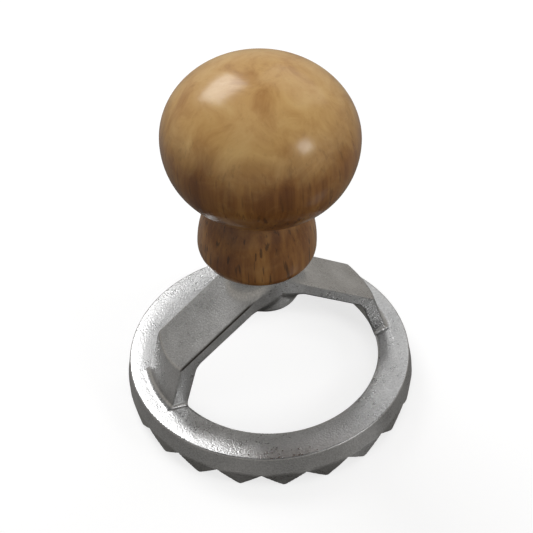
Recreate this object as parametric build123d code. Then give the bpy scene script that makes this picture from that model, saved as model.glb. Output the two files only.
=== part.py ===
"""Round ravioli stamp: a toothed aluminium ring on a peaked bridge, with a turned wooden knob.

Frame: millimetres, +Z up along the ring's axis, +X along the bridge.
The origin is the middle of the circle on which the tooth tips stand.
"""
import os
from math import atan2, cos, hypot, pi, radians, sin

from build123d import *

# Cutter ring: heights are above the tooth tips
RIM_Z = 8.95                # top outer edge of the ring
RIM_R = 34.0
INNER_R = 26.1              # opening in the middle
CORE_SHIFT = 0.45           # the opening and the hollow under the bridge are cast off centre in +X
INNER_EDGE_DROP = 0.6       # the top face falls this much towards the opening
LIP_THICKNESS = 0.7         # the ring is thin at its opening
BORE_STOCK = 1.0            # width left inside the opening until it is cut
UNDERSIDE_Z = 4.6           # the underside slopes down to here at the toothed wall
WALL_R = 34.95              # the outer wall swells to this radius
WALL_Z = 3.9                # height of the widest place, just above the tooth gaps
TIP_OUTER_R = 34.6
TIP_INNER_R = 33.7
WALL_INNER_R = 31.9         # inner side of the toothed wall, at its foot
RIM_EDGE_RADIUS = 0.4

# Teeth: points that stand down round the outer wall
TOOTH_COUNT = 21
TOOTH_HEIGHT = 3.8
TOOTH_TIP_LAND = 0.6        # flat left at each tip, measured round the ring
FIRST_TIP_ANGLE = 181.55    # degrees from +X

# Bridge: two flat arms on legs that curve with the ring
BRIDGE_WIDTH = 13.8
ARM_THICKNESS = 3.0
PEAK_RISE = 29.55           # above the ring's top edge
SHOULDER_RISE = 11.75
SHOULDER_R = 26.1           # outer face of a leg, at the shoulder
FOOT_R = 29.5               # outer face of a leg, at the ring's top edge
FOOT_INNER_R = 25.8         # inner face of a leg, just proud of the ring's opening
FOOT_SINK = 1.15            # the legs run down this far into the ring
LANDING_SINK = 0.45         # the feet flare on to a landing just under the ring's top
FOOT_FLARE = 1.5            # fillet at the foot of a leg's outer face
SIDE_FLARE = 0.9            # fillet at the foot of its sides
MARGIN = 0.3                # cutting shapes run past the metal by this much

# Boss at the middle of the bridge
BOSS_R = 7.6
BOSS_FOOT_RISE = 19.9
BOSS_TOP_RISE = 33.4
BOSS_EDGE_CHAMFER = 0.7

# Handle: one turned piece of wood, heights above its own seat
COLLAR_SEAT_R = 9.8
COLLAR_R = 13.45
COLLAR_MAX_Z = 3.6
NECK_R = 9.0
NECK_Z = 17.6
KNOB_R = 21.2
KNOB_MIDDLE_Z = 32.3
KNOB_TOP_Z = 49.3
KNOB_CAP_ANGLE = 3          # the very top of the knob is a small flat

# The handle's hole is drilled off centre and out of true
HANDLE_LEAN = 3.7           # degrees
HANDLE_OFFSET = 1.75        # the seat's middle is this far from the ring's axis
LEAN_HEADING = -23.2        # the direction the knob leans to, degrees from +X
SEAT_RECESS = 1.0           # the boss is pulled this deep into the wood

# Steel stud
STUD_R = 3.0
STUD_CLEARANCE = 0.04
STUD_IN_BOSS = 10.0
STUD_IN_HANDLE = 24.0
STUD_POINT = 1.2

PARTS_DIR = "parts"


def at_angle(angle, radius, height=0.0):
    """A point on a circle round the ring's axis."""
    heading = radians(angle)
    return Vector(radius * cos(heading), radius * sin(heading), height)


def ring_blank():
    """The ring and its outer wall before the teeth are cut."""
    start_r = INNER_R - BORE_STOCK
    top_slope = INNER_EDGE_DROP / (RIM_R - INNER_R)
    lip_z = RIM_Z - INNER_EDGE_DROP - LIP_THICKNESS
    under_slope = (lip_z - UNDERSIDE_Z) / (WALL_INNER_R - INNER_R)
    with BuildPart() as blank:
        with BuildSketch(Plane.XZ):
            Polygon(
                (start_r, RIM_Z - top_slope * (RIM_R - start_r)),
                (RIM_R, RIM_Z),
                (WALL_R, WALL_Z),
                (TIP_OUTER_R, 0),
                (TIP_INNER_R, 0),
                (WALL_INNER_R, UNDERSIDE_Z),
                (start_r, lip_z + under_slope * BORE_STOCK),
                align=None,
            )
        revolve(axis=Axis.Z)
        rim = blank.edges().filter_by(GeomType.CIRCLE).group_by(Axis.Z)[-1]
        fillet(rim, RIM_EDGE_RADIUS)
    bore = Cylinder(INNER_R, RIM_Z, align=(Align.CENTER, Align.CENTER, Align.MIN))
    bore = Location((CORE_SHIFT, 0, MARGIN)) * bore.rotate(Axis.Z, 90)
    return blank.part.rotate(Axis.Z, 90) - bore


def tooth_gaps():
    """One V-shaped gap per tooth, cut straight through the wall."""
    pitch = 2 * pi * TIP_INNER_R / TOOTH_COUNT
    half_mouth = (pitch - TOOTH_TIP_LAND) / 2
    low_half = half_mouth * (1 + MARGIN / TOOTH_HEIGHT)
    start = WALL_INNER_R - MARGIN
    with BuildPart() as gap:
        with BuildSketch(Plane.YZ.offset(start)):
            Polygon(
                (-low_half, -MARGIN),
                (low_half, -MARGIN),
                (0, TOOTH_HEIGHT),
                align=None,
            )
        extrude(amount=WALL_R + MARGIN - start)
    step = 360 / TOOTH_COUNT
    first = FIRST_TIP_ANGLE + step / 2
    return [gap.part.rotate(Axis.Z, first + step * index) for index in range(TOOTH_COUNT)]


def flare_corner(outline, spot, radius):
    """Rounds the inside corner of a flat outline that lies at one spot of its plane."""
    corners = [
        corner
        for corner in outline.vertices()
        if hypot(corner.X - spot[0], corner.Y - spot[1]) < MARGIN
    ]
    fillet(corners, radius)


def leg_cone():
    """Solid of revolution whose outside is the legs' outer face, flared at its foot."""
    lean = (FOOT_R - SHOULDER_R) / SHOULDER_RISE
    low_z = RIM_Z - FOOT_SINK
    landing_z = RIM_Z - LANDING_SINK
    top_z = RIM_Z + PEAK_RISE + MARGIN
    foot = (FOOT_R + lean * LANDING_SINK, landing_z)
    end_r = foot[0] + FOOT_FLARE + MARGIN
    with BuildPart() as body:
        with BuildSketch(Plane.XZ) as outline:
            Polygon(
                (0, low_z),
                (end_r, low_z),
                (end_r, landing_z),
                foot,
                (FOOT_R - lean * (PEAK_RISE + MARGIN), top_z),
                (0, top_z),
                align=None,
            )
            flare_corner(outline, foot, FOOT_FLARE)
        revolve(axis=Axis.Z)
    return body.part.rotate(Axis.Z, 90)


def bridge_slab():
    """The bridge seen from its end: straight sides that flare out on the ring."""
    half_width = BRIDGE_WIDTH / 2
    wide = half_width + SIDE_FLARE + MARGIN
    landing_z = RIM_Z - LANDING_SINK
    low_z = RIM_Z - FOOT_SINK
    top_z = RIM_Z + PEAK_RISE + MARGIN
    with BuildSketch(Plane.YZ) as outline:
        Polygon(
            (0, low_z),
            (wide, low_z),
            (wide, landing_z),
            (half_width, landing_z),
            (half_width, top_z),
            (0, top_z),
            align=None,
        )
        flare_corner(outline, (half_width, landing_z), SIDE_FLARE)
        mirror(about=Plane.YZ)
    return extrude(outline.sketch, amount=RIM_R, both=True)


def arm_slope():
    """How steeply the arms rise, as height over length."""
    shoulder_x = (SHOULDER_R**2 - (BRIDGE_WIDTH / 2) ** 2) ** 0.5
    return (PEAK_RISE - SHOULDER_RISE) / shoulder_x


def roofed(peak_z, low_z):
    """Everything under two planes that meet over the ring's axis."""
    eave_z = peak_z - arm_slope() * RIM_R
    with BuildSketch(Plane.XZ) as outline:
        Polygon(
            (-RIM_R, low_z),
            (RIM_R, low_z),
            (RIM_R, eave_z),
            (0, peak_z),
            (-RIM_R, eave_z),
            align=None,
        )
    return extrude(outline.sketch, amount=BRIDGE_WIDTH, both=True)


def bridge():
    """Arms and legs: a roofed cone, hollowed by a smaller roofed cone."""
    lean = (FOOT_R - SHOULDER_R) / SHOULDER_RISE
    peak_z = RIM_Z + PEAK_RISE
    low_z = RIM_Z - FOOT_SINK
    outside = leg_cone() & bridge_slab() & roofed(peak_z, low_z)

    drop = ARM_THICKNESS * hypot(1, arm_slope())
    under_z = low_z - MARGIN
    inner_low_r = FOOT_INNER_R + lean * (RIM_Z - INNER_EDGE_DROP - under_z)
    hollow = Cone(
        inner_low_r,
        inner_low_r - lean * (peak_z - under_z),
        peak_z - under_z,
        align=(Align.CENTER, Align.CENTER, Align.MIN),
    )
    hollow = Location((0, 0, under_z)) * hollow.rotate(Axis.Z, 90)
    hollow = hollow & roofed(peak_z - drop, under_z)
    return outside - Location((CORE_SHIFT, 0, 0)) * hollow


def boss():
    """The round boss that carries the handle, without its hole."""
    low_z = RIM_Z + BOSS_FOOT_RISE
    top_z = RIM_Z + BOSS_TOP_RISE
    with BuildPart() as body:
        with BuildSketch(Plane.XZ):
            Polygon(
                (0, low_z),
                (BOSS_R - BOSS_EDGE_CHAMFER, low_z),
                (BOSS_R, low_z + BOSS_EDGE_CHAMFER),
                (BOSS_R, top_z),
                (0, top_z),
                align=None,
            )
        revolve(axis=Axis.Z)
    return body.part.rotate(Axis.Z, 90)


def stud_hole(depth_low, depth_high):
    """The round space round the stud, between two heights above the ring's top."""
    length = depth_high - depth_low
    place = Location((0, 0, RIM_Z + depth_low))
    hole = Cylinder(
        STUD_R + STUD_CLEARANCE,
        length,
        align=(Align.CENTER, Align.CENTER, Align.MIN),
    )
    return place * hole


def cutter():
    """The aluminium casting: ring, teeth, bridge and boss in one piece."""
    ring = ring_blank() - tooth_gaps()
    crown = bridge() + boss()
    hole = stud_hole(BOSS_TOP_RISE - STUD_IN_BOSS, BOSS_TOP_RISE + 1)
    return ring + crown - hole


def handle_profile():
    """Half outline of the turned wood in its own frame."""
    rise = NECK_Z - COLLAR_MAX_Z
    step = COLLAR_R - NECK_R
    sweep_r = (step**2 + rise**2) / (2 * step)
    half_sweep = atan2(rise, sweep_r - step) / 2
    waist = (COLLAR_R - sweep_r * (1 - cos(half_sweep)), COLLAR_MAX_Z + sweep_r * sin(half_sweep))
    with BuildSketch(Plane.XZ) as outline:
        with BuildLine():
            Line((0, 0), (COLLAR_SEAT_R, 0))
            EllipticalCenterArc(
                (COLLAR_SEAT_R, COLLAR_MAX_Z),
                COLLAR_R - COLLAR_SEAT_R,
                COLLAR_MAX_Z,
                start_angle=270,
                arc_size=90,
            )
            ThreePointArc((COLLAR_R, COLLAR_MAX_Z), waist, (NECK_R, NECK_Z))
            EllipticalCenterArc(
                (NECK_R, KNOB_MIDDLE_Z),
                KNOB_R - NECK_R,
                KNOB_MIDDLE_Z - NECK_Z,
                start_angle=270,
                arc_size=90,
            )
            EllipticalCenterArc(
                (0, KNOB_MIDDLE_Z),
                KNOB_R,
                KNOB_TOP_Z - KNOB_MIDDLE_Z,
                start_angle=0,
                arc_size=90 - KNOB_CAP_ANGLE,
            )
            cap = radians(90 - KNOB_CAP_ANGLE)
            cap_r = KNOB_R * cos(cap)
            cap_z = KNOB_MIDDLE_Z + (KNOB_TOP_Z - KNOB_MIDDLE_Z) * sin(cap)
            Polyline((cap_r, cap_z), (0, cap_z), (0, 0))
        make_face()
    return outline.sketch


def handle():
    """The wooden handle, leaning on the boss, with its hole and its seat."""
    wood = revolve(handle_profile(), axis=Axis.Z)
    heading = radians(LEAN_HEADING)
    tilt_axis = Axis((0, 0, 0), (-sin(heading), cos(heading), 0))
    wood = wood.rotate(tilt_axis, HANDLE_LEAN)
    seat_height = BOSS_TOP_RISE - SEAT_RECESS
    offset = at_angle(LEAN_HEADING + 180, HANDLE_OFFSET, RIM_Z + seat_height)
    wood = wood.translate(offset)
    pocket = Cylinder(
        BOSS_R + STUD_CLEARANCE,
        2 * SEAT_RECESS,
        align=(Align.CENTER, Align.CENTER, Align.MAX),
    )
    wood = wood - Location((0, 0, RIM_Z + BOSS_TOP_RISE)) * pocket
    return wood - stud_hole(BOSS_TOP_RISE - 1, BOSS_TOP_RISE + STUD_IN_HANDLE)


def stud():
    """The hidden steel stud, with a point chamfered on each end."""
    length = STUD_IN_BOSS + STUD_IN_HANDLE
    with BuildPart() as rod:
        with Locations((0, 0, RIM_Z + BOSS_TOP_RISE - STUD_IN_BOSS)):
            Cylinder(STUD_R, length, align=(Align.CENTER, Align.CENTER, Align.MIN))
        chamfer(rod.edges().filter_by(GeomType.CIRCLE), STUD_POINT)
    return rod.part


def main():
    os.makedirs(PARTS_DIR, exist_ok=True)
    pieces = {"cutter": cutter(), "handle": handle(), "stud": stud()}
    for name, solid in pieces.items():
        solid.label = name
        export_step(solid, os.path.join(PARTS_DIR, name + ".step"))
        print(name, round(solid.volume), "mm3", solid.bounding_box())


main()
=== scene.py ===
"""Looks of the round ravioli stamp: a satin aluminium casting under a varnished wooden knob.

Shapes are worked out in millimetres in the CAD frame and scaled to metres at the end. Angles
are in degrees.
"""

import bpy
import numpy as np
from mathutils import Matrix, Vector
from math import atan2, cos, pi, radians, sin, sqrt


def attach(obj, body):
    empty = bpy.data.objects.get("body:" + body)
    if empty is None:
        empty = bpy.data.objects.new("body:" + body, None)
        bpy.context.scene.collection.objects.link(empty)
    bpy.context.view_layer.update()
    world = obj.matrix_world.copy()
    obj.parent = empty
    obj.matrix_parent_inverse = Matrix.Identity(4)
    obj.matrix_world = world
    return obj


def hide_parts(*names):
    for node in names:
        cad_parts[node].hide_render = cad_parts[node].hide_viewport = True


MM = 0.001

# Cutter ring
RIM_Z = 8.95
RIM_R = 34.0
INNER_R = 26.1
CORE_SHIFT = 0.45
BORE_STOCK = 1.0
INNER_EDGE_DROP = 0.6
TOP_CROWN = 0.3
LIP_THICKNESS = 0.7
UNDERSIDE_Z = 4.6
WALL_R = 34.9
WALL_Z = 3.9
TIP_OUTER_R = 34.55
TIP_INNER_R = 33.7
WALL_INNER_R = 31.9
RING_ROUND = 0.3

# Teeth
TOOTH_COUNT = 21
TOOTH_HEIGHT = 3.8
TOOTH_TIP_LAND = 0.6
TOOTH_TIP_ROUND = 0.3
FIRST_TIP_ANGLE = 181.55
FACET_TIP_R = 34.55
FACET_TOP_R = 34.75
FACET_TOP_Z = 4.4
TOOTH_BLEND = 0.2

# Bridge and boss
BRIDGE_HALF_WIDTH = 6.9
ARM_THICKNESS = 3.0
PEAK_RISE = 29.55
SHOULDER_RISE = 11.75
SHOULDER_R = 26.1
FOOT_R = 29.5
FOOT_INNER_R = 25.8
FOOT_SINK = 1.1
FOOT_FLARE = 1.5
SIDE_FLARE = 0.9
CORNER_ROUND = 0.35
INNER_CORNER_ROUND = 0.8
BOSS_R = 7.55
BOSS_FOOT_RISE = 19.9
BOSS_TOP_RISE = 33.4
BOSS_ROUND = 0.9
BOSS_FILLET = 2.2
STUD_HOLE_R = 3.04
STUD_HOLE_DEPTH = 10.0

# Mesh of the casting
CELL = 0.3
CELL_MARGIN = 1.2
SETTLE_STEPS = 4
PROBE = 0.02
LEAST_SLOPE_SQUARED = 0.25
TINY = 1e-6
SHARPEST_CORNER = 0.2

# Handle, heights above its seat
COLLAR_SEAT_R = 9.8
COLLAR_R = 13.4
COLLAR_MAX_Z = 3.6
NECK_R = 9.0
NECK_Z = 17.6
KNOB_R = 21.15
KNOB_MIDDLE_Z = 32.3
KNOB_TOP_Z = 49.2
HANDLE_LEAN = 3.7
HANDLE_OFFSET = 1.75
LEAN_HEADING = -23.2
SEAT_RECESS = 1.0
HANDLE_SIDES = 192
SEAT_ARC_STEPS = 16
ARC_STEPS = 40

# Dark line on the left arm: depth under the roof, width, where it starts and where it ends
LINE_DEPTH = 0.35
LINE_WIDTH = 0.4
LINE_START = (26.4, 24.6)
LINE_END = (7.5, 5.5)
LINE_TONE = (0.030, 0.022, 0.018)

# Noises: stretch along each axis, scale per metre, detail, roughness, distortion
EVEN = (1, 1, 1)
NOISES = {
    "cloud": (EVEN, 110.0, 4.0, 0.6, 0.0),
    "speckle": (EVEN, 1500.0, 2.0, 0.5, 0.0),
    "grain": (EVEN, 2600.0, 1.0, 0.5, 0.0),
    "figure": ((1, 1, 0.10), 80.0, 4.0, 0.55, 0.5),
    "streaks": ((1, 1, 0.05), 620.0, 3.0, 0.6, 0.0),
    "mottle": (EVEN, 130.0, 4.0, 0.6, 0.8),
    "pores": ((1, 1, 0.07), 1150.0, 2.0, 0.5, 0.0),
    "lines": ((0.2, 0.2, 1), 2600.0, 2.0, 0.5, 0.0),
    "sweep": (EVEN, 3.0, 3.0, 0.5, 0.0),
}
NOISE_SPREAD = (0.3, 0.7)

# Cast aluminium
CLOUD_SPREAD = (0.35, 0.7)
CLOUD_TONES = ((0.50, 0.50, 0.50), (0.63, 0.63, 0.628))
FLECK_SPREAD = (0.26, 0.42)
FLECK_SHADES = (0.92, 1.0)
GRAIN_SPREAD = (0.35, 0.65)
GRAIN_SHADES = (0.88, 1.08)
ALUMINIUM_ROUGHNESS = (0.27, 0.37)
FLECK_ROUGHNESS = (-0.05, 0.07)
ALUMINIUM_RELIEF = (0.00009, 0.7)

# Varnished wood: grain along the sides up to the lower height, end grain above the higher one.
# The pale top is partly the end grain's own tone and partly painted light; the darker sides are
# partly their own tone and partly painted shade
END_GRAIN_AND_LIT_TOP_Z = (75.0, 84.0)
END_GRAIN_AND_LIT_TOP_WANDER = (-0.18, 0.18)
SIDE_GRAIN_AND_SHADE_TONES = (
    (0.32, (0.110, 0.034, 0.006)),
    (0.46, (0.190, 0.072, 0.015)),
    (0.56, (0.280, 0.122, 0.028)),
    (0.70, (0.390, 0.200, 0.058)),
)
END_GRAIN_AND_LIT_TOP_TONES = (
    (0.34, (0.455, 0.235, 0.072)),
    (0.48, (0.540, 0.315, 0.108)),
    (0.66, (0.620, 0.395, 0.155)),
)
COARSE_SHARE = 0.6
PORE_SPREAD = (0.32, 0.40)
PORE_SHADES = (0.45, 0.95)
WOOD_ROUGHNESS = (0.42, 0.55)
WOOD_SPECULAR = 0.15
VARNISH_WEIGHT = 0.7
VARNISH_ROUGHNESS = 0.2
WOOD_RELIEF = (0.00010, 0.35)

# Plated steel
STEEL_TONES = ((0.42, 0.43, 0.45), (0.60, 0.60, 0.61))
STEEL_ROUGHNESS = (0.28, 0.42)
STEEL_RELIEF = (0.00004, 0.4)

# Floor
FLOOR_TONES = ((0.34, 0.34, 0.34), (0.36, 0.36, 0.36))
FLOOR_GLOW = 0.72
FLOOR_ROUGHNESS = 0.9
FLOOR_SPECULAR = 0.1
FLOOR_REACH = 3.0

# Camera: it looks at the middle of the ring's rim, which shows off the frame's centre by these
# shares of the frame
CAMERA_AZIMUTH = -23.2
CAMERA_ELEVATION = 47.12
CAMERA_ROLL = 2.8
CAMERA_DISTANCE = 305.8
LENS_MM = 84.4
SENSOR_MM = 36.0
AIM_RIGHT = 0.005
AIM_DOWN = 0.1535
CLIP_START = 0.01

# Studio, in metres: azimuth from the camera's, elevation, width, height, brightness
LIGHT_DISTANCE = 0.6
LIGHT_AIM_Z = 0.04
SOFTBOXES = {
    "key_left": (-146, 48, 0.29, 0.26, 6.6),
    "back_right": (145, 42, 0.45, 0.35, 0.9),
    "small_right": (59, 34, 0.14, 0.14, 8.0),
    "bounce_right": (71, -47, 0.16, 0.16, 0.4),
    "overhead": (-20, 78, 0.50, 0.50, 1.25),
    "fill_right": (75, 12, 0.30, 0.30, 0.9),
}
# Softboxes that are not mirrored in the metal or the varnish
MATTE_ONLY = ("overhead", "fill_right")

# Room brightness from straight down (0) through the horizon (0.5) to straight up (1)
ROOM_TONES = [
    (0.0, (0.02, 0.02, 0.02)),
    (0.05, (0.03, 0.028, 0.026)),
    (0.11, (0.15, 0.145, 0.135)),
    (0.17, (0.17, 0.165, 0.155)),
    (0.27, (0.29, 0.285, 0.28)),
    (0.42, (0.27, 0.26, 0.24)),
    (0.52, (0.56, 0.52, 0.47)),
    (0.75, (0.30, 0.30, 0.295)),
    (0.86, (0.11, 0.11, 0.11)),
    (1.0, (0.16, 0.16, 0.16)),
]


# ---------- distances to the casting's surface ----------

def inset(corners, amount):
    """The same anticlockwise polygon with every side moved in by the amount."""
    count = len(corners)
    moved = []
    for index in range(count):
        before, here, after = (np.array(corners[(index + k) % count], float) for k in (-1, 0, 1))
        first = (here - before) / np.linalg.norm(here - before)
        second = (after - here) / np.linalg.norm(after - here)
        turn = first[0] * second[1] - first[1] * second[0]
        spread = 1 + first @ second
        left = np.array([-first[1] - second[1], first[0] + second[0]])
        moved.append(tuple(here + amount * left / max(spread, abs(turn) * SHARPEST_CORNER)))
    return moved


def polygon_distance(across, up, corners):
    """Distance to a polygon, negative inside."""
    nearest = np.full_like(across, np.inf)
    inside = np.zeros(across.shape, bool)
    for (ax, az), (bx, bz) in zip(corners, corners[1:] + corners[:1]):
        ex, ez = bx - ax, bz - az
        wx, wz = across - ax, up - az
        along = np.clip((wx * ex + wz * ez) / (ex * ex + ez * ez), 0, 1)
        nearest = np.minimum(nearest, (wx - ex * along) ** 2 + (wz - ez * along) ** 2)
        if az != bz:
            crosses = ((az <= up) != (bz <= up)) & (wx < wz * ex / ez)
            inside ^= crosses
    return np.where(inside, -1, 1) * np.sqrt(nearest)


def joined(a, b, radius):
    """Both shapes, with a concave fillet of this radius where they meet."""
    near = np.hypot(np.maximum(radius - a, 0), np.maximum(radius - b, 0))
    return np.maximum(radius, np.minimum(a, b)) - near


def shared(a, b, radius):
    """Only what both shapes hold, with the edge between them rounded to this radius."""
    return -joined(-a, -b, radius)


def ring_distance(x, y, z):
    """The toothed ring."""
    radius = np.hypot(x, y)
    half_width = (RIM_R - INNER_R) / 2
    crown = TOP_CROWN * np.clip(1 - ((radius - INNER_R) / half_width - 1) ** 2, 0, 1)
    level = np.where(z > WALL_Z, z - crown, z)
    start_r = INNER_R - BORE_STOCK
    lip_z = RIM_Z - INNER_EDGE_DROP - LIP_THICKNESS
    under_slope = (lip_z - UNDERSIDE_Z) / (WALL_INNER_R - INNER_R)
    top_slope = INNER_EDGE_DROP / (RIM_R - INNER_R)
    outline = [
        (start_r, lip_z + under_slope * BORE_STOCK),
        (WALL_INNER_R, UNDERSIDE_Z),
        (TIP_INNER_R, 0),
        (TIP_OUTER_R, 0),
        (WALL_R, WALL_Z),
        (RIM_R, RIM_Z),
        (start_r, RIM_Z - top_slope * (RIM_R - start_r)),
    ]
    body = polygon_distance(radius, level, inset(outline, RING_ROUND)) - RING_ROUND
    body = shared(body, INNER_R - np.hypot(x - CORE_SHIFT, y), RING_ROUND)

    # Angle from the nearest tooth tip
    step = 2 * pi / TOOTH_COUNT
    turn = np.arctan2(y, x) - radians(FIRST_TIP_ANGLE)
    off_tip = turn - step * np.round(turn / step)

    # A flat facet on the front of each tooth
    facet_lean = atan2(FACET_TOP_R - FACET_TIP_R, FACET_TOP_Z)
    facet_r = FACET_TIP_R + (FACET_TOP_R - FACET_TIP_R) * z / FACET_TOP_Z
    facet = (radius * np.cos(off_tip) - facet_r) * cos(facet_lean)
    facet = np.where(z < FACET_TOP_Z, facet, facet - (z - FACET_TOP_Z))
    body = shared(body, facet, TOOTH_BLEND)

    half_mouth = (step * TIP_INNER_R - TOOTH_TIP_LAND) / 2
    slope = atan2(TOOTH_HEIGHT, half_mouth)
    across = np.hypot(off_tip * radius, TOOTH_TIP_ROUND)
    edge_z = (across - TOOTH_TIP_LAND / 2) * TOOTH_HEIGHT / half_mouth
    return shared(body, (edge_z - z) * cos(slope), TOOTH_BLEND)


def roof_slope():
    """How steeply the arms fall from the peak to the shoulders."""
    return atan2(PEAK_RISE - SHOULDER_RISE, sqrt(SHOULDER_R**2 - BRIDGE_HALF_WIDTH**2))


def above_roof(x, z, peak_z):
    """Distance above two planes that meet over the ring's axis."""
    slope = roof_slope()
    return (z - peak_z) * cos(slope) + np.abs(x) * sin(slope)


def outside_leg(radius, z, foot_r, foot_z):
    """Distance outside the leaning cone that a leg's face belongs to."""
    lean = atan2(FOOT_R - SHOULDER_R, SHOULDER_RISE)
    return (radius - foot_r) * cos(lean) + (z - foot_z) * sin(lean)


def bridge_distance(x, y, z, ring):
    """Arms and legs, with the feet flared on to the ring."""
    radius = np.hypot(x, y)
    face = joined(outside_leg(radius, z, FOOT_R, RIM_Z), ring, FOOT_FLARE)
    side = joined(np.abs(y) - BRIDGE_HALF_WIDTH, ring, SIDE_FLARE)
    roof = above_roof(x, z, RIM_Z + PEAK_RISE)
    outside = shared(shared(face, side, CORNER_ROUND), roof, CORNER_ROUND)

    ceiling_z = RIM_Z + PEAK_RISE - ARM_THICKNESS / cos(roof_slope())
    ceiling = above_roof(x - CORE_SHIFT, z, ceiling_z)
    inner = outside_leg(np.hypot(x - CORE_SHIFT, y), z, FOOT_INNER_R, RIM_Z - INNER_EDGE_DROP)
    hollow = shared(inner, ceiling, INNER_CORNER_ROUND)
    hollowed = shared(outside, -hollow, CORNER_ROUND)
    return np.maximum(hollowed, RIM_Z - FOOT_SINK - z)


def boss_distance(x, y, z):
    """The round boss, from its rounded foot upwards."""
    low_z = RIM_Z + BOSS_FOOT_RISE
    return shared(np.hypot(x, y) - BOSS_R, low_z - z, BOSS_ROUND)


def casting_distance(x, y, z):
    """Distance to the whole casting: ring, bridge and boss as one skin."""
    ring = ring_distance(x, y, z)
    crown = joined(bridge_distance(x, y, z, ring), boss_distance(x, y, z), BOSS_FILLET)
    top_z = RIM_Z + BOSS_TOP_RISE
    hole = np.maximum(np.hypot(x, y) - STUD_HOLE_R, top_z - STUD_HOLE_DEPTH - z)
    return np.maximum(np.maximum(np.minimum(crown, ring), -hole), z - top_z)


# ---------- turning the distances into a mesh ----------

def surface_net(field, low):
    """Points and quads where the field changes sign; one point per crossed cell."""
    shape = np.array(field.shape)
    points, cells, quads_of = [], [], []
    for axis in range(3):
        keep = [slice(None)] * 3
        keep[axis] = slice(0, -1)
        near = field[tuple(keep)]
        keep[axis] = slice(1, None)
        far = field[tuple(keep)]
        spots = np.argwhere((near < 0) != (far < 0))
        at = tuple(spots.T)
        share = near[at] / (near[at] - far[at])
        crossing = spots.astype(float)
        crossing[:, axis] += share
        one, two = (axis + 1) % 3, (axis + 2) % 3
        around = []
        for back_one, back_two in ((0, 0), (1, 0), (1, 1), (0, 1)):
            cell = spots.copy()
            cell[:, one] -= back_one
            cell[:, two] -= back_two
            around.append(np.ravel_multi_index(tuple(cell.T), shape))
        corners = np.stack(around, 1)
        faces_up = (near[at] < 0)[:, None]
        points.append(np.repeat(crossing, 4, 0))
        cells.append(corners.ravel())
        quads_of.append(np.where(faces_up, corners, corners[:, ::-1]))
    all_cells = np.concatenate(cells)
    all_points = np.concatenate(points)
    names, owner = np.unique(all_cells, return_inverse=True)
    count = np.bincount(owner)
    spot = np.stack([np.bincount(owner, all_points[:, k]) / count for k in range(3)], 1)
    quads = np.searchsorted(names, np.concatenate(quads_of))
    return low + spot * CELL, quads


def slope_of(points):
    """Direction in which the casting's distance grows at each point."""
    parts = []
    for axis in range(3):
        nudge = np.zeros(3)
        nudge[axis] = PROBE
        ahead = casting_distance(*(points + nudge).T)
        behind = casting_distance(*(points - nudge).T)
        parts.append((ahead - behind) / (2 * PROBE))
    return np.stack(parts, 1)


def casting_mesh():
    """The casting's skin, settled on to its exact surface."""
    reach = WALL_R + CELL_MARGIN
    top = RIM_Z + BOSS_TOP_RISE + CELL_MARGIN
    low = np.array([-reach, -reach, -CELL_MARGIN])
    level = np.arange(-reach, reach, CELL)
    x, y = np.meshgrid(level, level, indexing="ij")
    layers = []
    for height in np.arange(-CELL_MARGIN, top, CELL):
        layers.append(casting_distance(x, y, np.full_like(x, height)))
    points, quads = surface_net(np.stack(layers, 2), low)
    for _ in range(SETTLE_STEPS):
        slope = slope_of(points)
        size = np.maximum((slope**2).sum(1), LEAST_SLOPE_SQUARED)
        points = points - (casting_distance(*points.T) / size)[:, None] * slope
    slope = slope_of(points)
    normals = slope / np.maximum(np.linalg.norm(slope, axis=1), TINY)[:, None]
    return points, quads, normals


def new_mesh(name, points, faces):
    """A smooth-shaded object from points in millimetres, riding on the one body."""
    mesh = bpy.data.meshes.new(name)
    mesh.from_pydata((np.asarray(points) * MM).tolist(), [], [tuple(face) for face in faces])
    mesh.validate()
    mesh.shade_smooth()
    piece = bpy.data.objects.new(name, mesh)
    bpy.context.scene.collection.objects.link(piece)
    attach(piece, "root")
    return piece


# ---------- handle ----------

def arc(centre, size, start, end, steps):
    """Points on an ellipse's arc, from one angle to another in degrees."""
    angles = np.radians(np.linspace(start, end, steps))
    return [(centre[0] + size[0] * cos(a), centre[1] + size[1] * sin(a)) for a in angles]


def handle_outline():
    """The turned profile from the seat to the top of the knob."""
    rise = NECK_Z - COLLAR_MAX_Z
    step = COLLAR_R - NECK_R
    sweep = (step**2 + rise**2) / (2 * step)
    sweep_end = np.degrees(atan2(rise, sweep - step))
    foot_size = (COLLAR_R - COLLAR_SEAT_R, COLLAR_MAX_Z)
    foot = arc((COLLAR_SEAT_R, COLLAR_MAX_Z), foot_size, -90, 0, SEAT_ARC_STEPS)
    collar = arc((COLLAR_R - sweep, COLLAR_MAX_Z), (sweep, sweep), 0, sweep_end, ARC_STEPS)
    belly_size = (KNOB_R - NECK_R, KNOB_MIDDLE_Z - NECK_Z)
    belly = arc((NECK_R, KNOB_MIDDLE_Z), belly_size, -90, 0, ARC_STEPS)
    dome_size = (KNOB_R, KNOB_TOP_Z - KNOB_MIDDLE_Z)
    dome = arc((0, KNOB_MIDDLE_Z), dome_size, 0, 90, ARC_STEPS)
    return foot + collar[1:] + belly[1:] + dome[1:-1]


def handle_mesh():
    """The profile turned round the handle's own axis, closed at both ends."""
    outline = handle_outline()
    angles = np.linspace(0, 2 * pi, HANDLE_SIDES, endpoint=False)
    points = [(r * cos(a), r * sin(a), h) for r, h in outline for a in angles]
    faces = []
    for row in range(len(outline) - 1):
        for side in range(HANDLE_SIDES):
            following = (side + 1) % HANDLE_SIDES
            low, high = row * HANDLE_SIDES, (row + 1) * HANDLE_SIDES
            faces.append((low + side, low + following, high + following, high + side))
    points += [(0, 0, 0), (0, 0, KNOB_TOP_Z)]
    last = (len(outline) - 1) * HANDLE_SIDES
    for side in range(HANDLE_SIDES):
        following = (side + 1) % HANDLE_SIDES
        faces.append((following, side, len(points) - 2))
        faces.append((last + side, last + following, len(points) - 1))
    return points, faces


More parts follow.
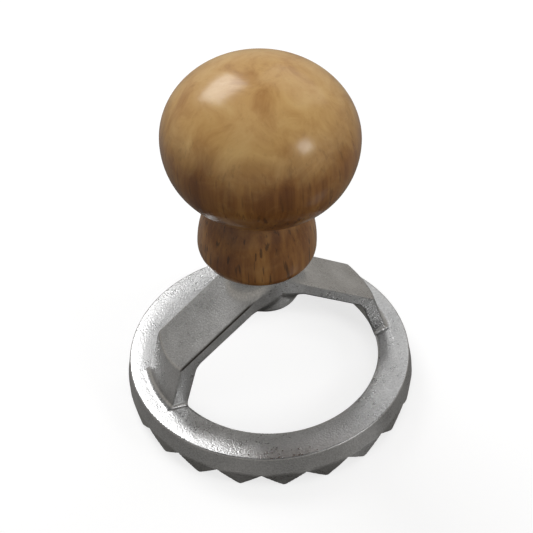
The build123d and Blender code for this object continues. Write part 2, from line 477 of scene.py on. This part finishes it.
def lean(points):
    """Puts the handle on the boss, with its lean and its offset."""
    heading = radians(LEAN_HEADING)
    axis = Vector((-sin(heading), cos(heading), 0))
    turn = Matrix.Rotation(radians(HANDLE_LEAN), 4, axis)
    seat = Vector((-HANDLE_OFFSET * cos(heading), -HANDLE_OFFSET * sin(heading), 0))
    seat.z = RIM_Z + BOSS_TOP_RISE - SEAT_RECESS
    place = Matrix.Translation(seat) @ turn
    return [tuple(place @ Vector(point)) for point in points]


# ---------- materials ----------

def fill_ramp(points, stops):
    """Puts the stops, each a position and a colour, on a colour ramp."""
    while len(points) < len(stops):
        points.new(1.0)
    for point, (spot, colour) in zip(points, stops):
        point.position = spot
        point.color = (*colour, 1)


def in_metres(*lengths):
    return tuple(length * MM for length in lengths)


class Nodes:
    """Short calls for building one material's node tree."""

    def __init__(self, name):
        self.material = bpy.data.materials.new(name)
        self.material.use_nodes = True
        self.tree = self.material.node_tree
        self.shader = self.tree.nodes["Principled BSDF"]

    def add(self, kind, inputs=None, **settings):
        node = self.tree.nodes.new(kind)
        for key, value in settings.items():
            setattr(node, key, value)
        for key, value in (inputs or {}).items():
            self.feed(node.inputs[key], value)
        return node

    def feed(self, socket, value):
        if isinstance(value, bpy.types.NodeSocket):
            self.tree.links.new(value, socket)
        else:
            socket.default_value = value

    def place(self):
        return self.add("ShaderNodeTexCoord").outputs["Object"]

    def math(self, operation, a, b=0.0, clamp=False):
        node = self.add("ShaderNodeMath", {0: a, 1: b}, operation=operation, use_clamp=clamp)
        return node.outputs[0]

    def noise(self, place, name):
        """One of the named noises."""
        stretch, scale, detail, roughness, distortion = NOISES[name]
        stretched = self.add("ShaderNodeMapping", {"Vector": place, "Scale": stretch}).outputs[0]
        inputs = {"Vector": stretched, "Scale": scale, "Detail": detail}
        inputs.update({"Roughness": roughness, "Distortion": distortion})
        return self.add("ShaderNodeTexNoise", inputs).outputs["Fac"]

    def ramp(self, value, stops):
        node = self.add("ShaderNodeValToRGB", {"Fac": value})
        fill_ramp(node.color_ramp.elements, stops)
        return node.outputs["Color"]

    def span(self, value, span_in, span_out=(0.0, 1.0)):
        """The value carried over from one span to another, and held at its ends."""
        inputs = {"Value": value, "From Min": span_in[0], "From Max": span_in[1]}
        inputs.update({"To Min": span_out[0], "To Max": span_out[1]})
        return self.add("ShaderNodeMapRange", inputs).outputs["Result"]

    def grey(self, value):
        return self.add("ShaderNodeCombineColor", {0: value, 1: value, 2: value}).outputs[0]

    def mix(self, share, a, b, blend="MIX"):
        node = self.add("ShaderNodeMix", data_type="RGBA", blend_type=blend)
        for index, value in ((0, share), (6, a), (7, b)):
            self.feed(node.inputs[index], (*value, 1) if isinstance(value, tuple) else value)
        return node.outputs[2]

    def set(self, **inputs):
        """Feeds the shader's own sockets, named with underscores for spaces."""
        for name, value in inputs.items():
            self.feed(self.shader.inputs[name.replace("_", " ")], value)

    def relief(self, height, depth):
        """A bump on the shader: distance in metres, then strength."""
        distance, strength = depth
        inputs = {"Height": height, "Distance": distance, "Strength": strength}
        self.set(Normal=self.add("ShaderNodeBump", inputs).outputs["Normal"])


def arm_line(n, place):
    """1 on the thin dark line under the front top edge of the left arm, fading at its ends."""
    slope = roof_slope()
    parts = n.add("ShaderNodeSeparateXYZ", {0: place}).outputs
    below_peak = n.math("SUBTRACT", (RIM_Z + PEAK_RISE) * MM, parts["Z"])
    fall = n.math("MULTIPLY", below_peak, cos(slope))
    depth = n.math("ADD", fall, n.math("MULTIPLY", parts["X"], sin(slope)))
    off_line = n.math("ABSOLUTE", n.math("SUBTRACT", depth, LINE_DEPTH * MM))

    line = n.span(off_line, in_metres(LINE_WIDTH / 2, LINE_WIDTH), (1.0, 0.0))
    side = in_metres(-BRIDGE_HALF_WIDTH, LINE_DEPTH - BRIDGE_HALF_WIDTH)
    on_side = n.span(parts["Y"], side, (1.0, 0.0))
    from_foot = n.span(parts["X"], in_metres(*(-x for x in LINE_START)))
    to_boss = n.span(parts["X"], in_metres(*(-x for x in LINE_END)), (1.0, 0.0))
    ends = n.math("MULTIPLY", from_foot, to_boss)
    return n.math("MULTIPLY", n.math("MULTIPLY", line, on_side), ends)


def aluminium_material():
    """Satin tumbled casting: fine speckle, faint clouding, and one dark line along an arm."""
    n = Nodes("cast_aluminium")
    place = n.place()
    cloud = n.noise(place, "cloud")
    speckle = n.noise(place, "speckle")
    grain = n.noise(place, "grain")

    clouded = n.mix(n.span(cloud, CLOUD_SPREAD), *CLOUD_TONES)
    flecks = n.span(speckle, FLECK_SPREAD, FLECK_SHADES)
    shades = n.math("MULTIPLY", flecks, n.span(grain, GRAIN_SPREAD, GRAIN_SHADES))
    speckled = n.mix(1.0, clouded, n.grey(shades), "MULTIPLY")
    line = arm_line(n, place)
    cloud_rough = n.span(cloud, NOISE_SPREAD, ALUMINIUM_ROUGHNESS)
    fleck_rough = n.span(speckle, NOISE_SPREAD, FLECK_ROUGHNESS)
    n.set(Base_Color=n.mix(line, speckled, LINE_TONE), Metallic=1.0)
    n.set(Roughness=n.math("ADD", cloud_rough, fleck_rough))
    n.relief(n.math("SUBTRACT", grain, line), ALUMINIUM_RELIEF)
    return n.material


def blended(n, coarse, fine):
    """Two noises in one, mostly the coarse one."""
    return n.math(
        "ADD",
        n.math("MULTIPLY", coarse, COARSE_SHARE),
        n.math("MULTIPLY", fine, 1 - COARSE_SHARE),
    )


def wood_material():
    """Varnished hardwood with its grain along the handle's axis: paler end grain on top, partly
    its own tone and partly painted light, and darker sides below, partly painted shade.
    """
    n = Nodes("varnished_wood")
    place = n.place()
    height = n.add("ShaderNodeSeparateXYZ", {0: place}).outputs["Z"]
    figure = n.noise(place, "figure")
    streaks = n.noise(place, "streaks")
    mottle = n.noise(place, "mottle")
    pores = n.noise(place, "pores")

    # Pale tones on top and dark ones lower down, by height: partly the wood's own tones, partly
    # painted light on the lit top and painted shade on the lower sides
    wander = n.span(mottle, NOISE_SPREAD, END_GRAIN_AND_LIT_TOP_WANDER)
    upward = n.math("ADD", n.span(height, in_metres(*END_GRAIN_AND_LIT_TOP_Z)), wander, clamp=True)
    side = n.ramp(blended(n, figure, streaks), SIDE_GRAIN_AND_SHADE_TONES)
    end = n.ramp(blended(n, mottle, figure), END_GRAIN_AND_LIT_TOP_TONES)
    colour = n.mix(upward, side, end)

    neck_z = RIM_Z + BOSS_TOP_RISE + NECK_Z
    deepest = n.span(height, in_metres(neck_z, END_GRAIN_AND_LIT_TOP_Z[1]), PORE_SHADES)
    marks = n.span(pores, PORE_SPREAD, (deepest, 1.0))
    n.set(Base_Color=n.mix(1.0, colour, n.grey(marks), "MULTIPLY"))
    n.set(Roughness=n.span(streaks, NOISE_SPREAD, WOOD_ROUGHNESS))
    n.set(Specular_IOR_Level=WOOD_SPECULAR)
    n.set(Coat_Weight=VARNISH_WEIGHT, Coat_Roughness=VARNISH_ROUGHNESS)
    n.relief(n.math("ADD", streaks, marks), WOOD_RELIEF)
    return n.material


def steel_material():
    """Plain zinc-plated steel for the hidden stud."""
    n = Nodes("plated_steel")
    lines = n.noise(n.place(), "lines")
    n.set(Base_Color=n.mix(lines, *STEEL_TONES), Metallic=1.0)
    n.set(Roughness=n.span(lines, NOISE_SPREAD, STEEL_ROUGHNESS))
    n.relief(lines, STEEL_RELIEF)
    return n.material


def floor_material():
    """Plain pale sweep with a glow of its own, so it stays white under soft light."""
    n = Nodes("pale_floor")
    n.set(Base_Color=n.mix(n.noise(n.place(), "sweep"), *FLOOR_TONES))
    n.set(Emission_Color=(1, 1, 1, 1), Emission_Strength=FLOOR_GLOW)
    n.set(Roughness=FLOOR_ROUGHNESS, Specular_IOR_Level=FLOOR_SPECULAR)
    return n.material


# ---------- pieces ----------

def make_cutter():
    """The casting, in place of the plain CAD cutter."""
    points, quads, normals = casting_mesh()
    piece = new_mesh("cutter_casting", points, quads)
    piece.data.normals_split_custom_set_from_vertices(normals.tolist())
    piece.data.materials.append(aluminium_material())
    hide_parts("cutter")


def make_handle():
    """The turned handle, in place of the plain CAD one."""
    points, faces = handle_mesh()
    piece = new_mesh("turned_handle", lean(points), faces)
    piece.data.materials.append(wood_material())
    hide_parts("handle")


def dress_stud(stud):
    """The CAD stud is kept, and gets its material."""
    stud.data.materials.clear()
    stud.data.materials.append(steel_material())


# ---------- studio ----------

def make_floor():
    """A plain sweep that catches the shadow and stays out of the reflections."""
    mesh = bpy.data.meshes.new("floor")
    turns = ((-1, -1), (1, -1), (1, 1), (-1, 1))
    corners = [(x * FLOOR_REACH, y * FLOOR_REACH, 0) for x, y in turns]
    mesh.from_pydata(corners, [], [(0, 1, 2, 3)])
    floor = bpy.data.objects.new("floor", mesh)
    bpy.context.scene.collection.objects.link(floor)
    floor.data.materials.append(floor_material())
    floor.visible_glossy = False
    floor.visible_diffuse = False
    floor.visible_shadow = False


def softbox(name, azimuth, elevation, width, height, radiance):
    """A rectangular area light, placed by angles from the camera's own azimuth."""
    a, e = radians(azimuth + CAMERA_AZIMUTH), radians(elevation)
    middle = Vector((0, 0, LIGHT_AIM_Z))
    spot = middle + LIGHT_DISTANCE * Vector((sin(a) * cos(e), -cos(a) * cos(e), sin(e)))
    light = bpy.data.lights.new(name, "AREA")
    light.shape = "RECTANGLE"
    light.size = width
    light.size_y = height
    light.energy = radiance * pi * width * height
    lamp = bpy.data.objects.new(name, light)
    lamp.location = spot
    lamp.rotation_euler = (middle - spot).to_track_quat("-Z", "Y").to_euler()
    lamp.visible_glossy = name not in MATTE_ONLY
    bpy.context.scene.collection.objects.link(lamp)


def make_world():
    """A dim room, brightest at the horizon and nearly black straight below."""
    world = bpy.data.worlds.new("studio")
    world.use_nodes = True
    tree = world.node_tree
    place = tree.nodes.new("ShaderNodeTexCoord")
    split = tree.nodes.new("ShaderNodeSeparateXYZ")
    ramp = tree.nodes.new("ShaderNodeValToRGB")
    lift = tree.nodes.new("ShaderNodeMapRange")
    lift.inputs["From Min"].default_value = -1
    tree.links.new(place.outputs["Generated"], split.inputs[0])
    tree.links.new(split.outputs["Z"], lift.inputs["Value"])
    tree.links.new(lift.outputs["Result"], ramp.inputs["Fac"])
    tree.links.new(ramp.outputs["Color"], tree.nodes["Background"].inputs["Color"])
    fill_ramp(ramp.color_ramp.elements, ROOM_TONES)
    bpy.context.scene.world = world


def make_lights():
    """The room and the softboxes."""
    make_world()
    for name, settings in SOFTBOXES.items():
        softbox(name, *settings)


def make_camera():
    """The photographing position, rolled and turned so the rim's middle is off centre."""
    a, e, roll = radians(CAMERA_AZIMUTH), radians(CAMERA_ELEVATION), radians(CAMERA_ROLL)
    target = Vector((0, 0, RIM_Z)) * MM
    back = Vector((sin(a) * cos(e), -cos(a) * cos(e), sin(e)))
    right = Vector((cos(a), sin(a), 0))
    up = back.cross(right)
    level = Matrix((right, up, back)).transposed()
    rolled = level @ Matrix.Rotation(-roll, 3, "Z")
    reach = LENS_MM / SENSOR_MM
    seen = Vector((AIM_RIGHT, -AIM_DOWN, -reach))
    turn = seen.rotation_difference(Vector((0, 0, -1))).to_matrix()
    data = bpy.data.cameras.new("camera")
    data.lens = LENS_MM
    data.sensor_width = SENSOR_MM
    data.clip_start = CLIP_START
    camera = bpy.data.objects.new("camera", data)
    place = (rolled @ turn).to_4x4()
    place.translation = target + back * CAMERA_DISTANCE * MM
    camera.matrix_world = place
    bpy.context.scene.collection.objects.link(camera)
    bpy.context.scene.camera = camera


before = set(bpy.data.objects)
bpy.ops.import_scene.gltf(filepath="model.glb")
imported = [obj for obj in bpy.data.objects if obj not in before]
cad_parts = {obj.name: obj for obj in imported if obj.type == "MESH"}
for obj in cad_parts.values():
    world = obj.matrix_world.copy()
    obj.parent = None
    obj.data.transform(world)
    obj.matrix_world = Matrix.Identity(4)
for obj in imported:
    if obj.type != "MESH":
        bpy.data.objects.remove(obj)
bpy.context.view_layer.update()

make_cutter()
make_handle()
dress_stud(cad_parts["stud"])
make_floor()
make_lights()
make_camera()
bpy.context.scene.view_settings.view_transform = "Standard"
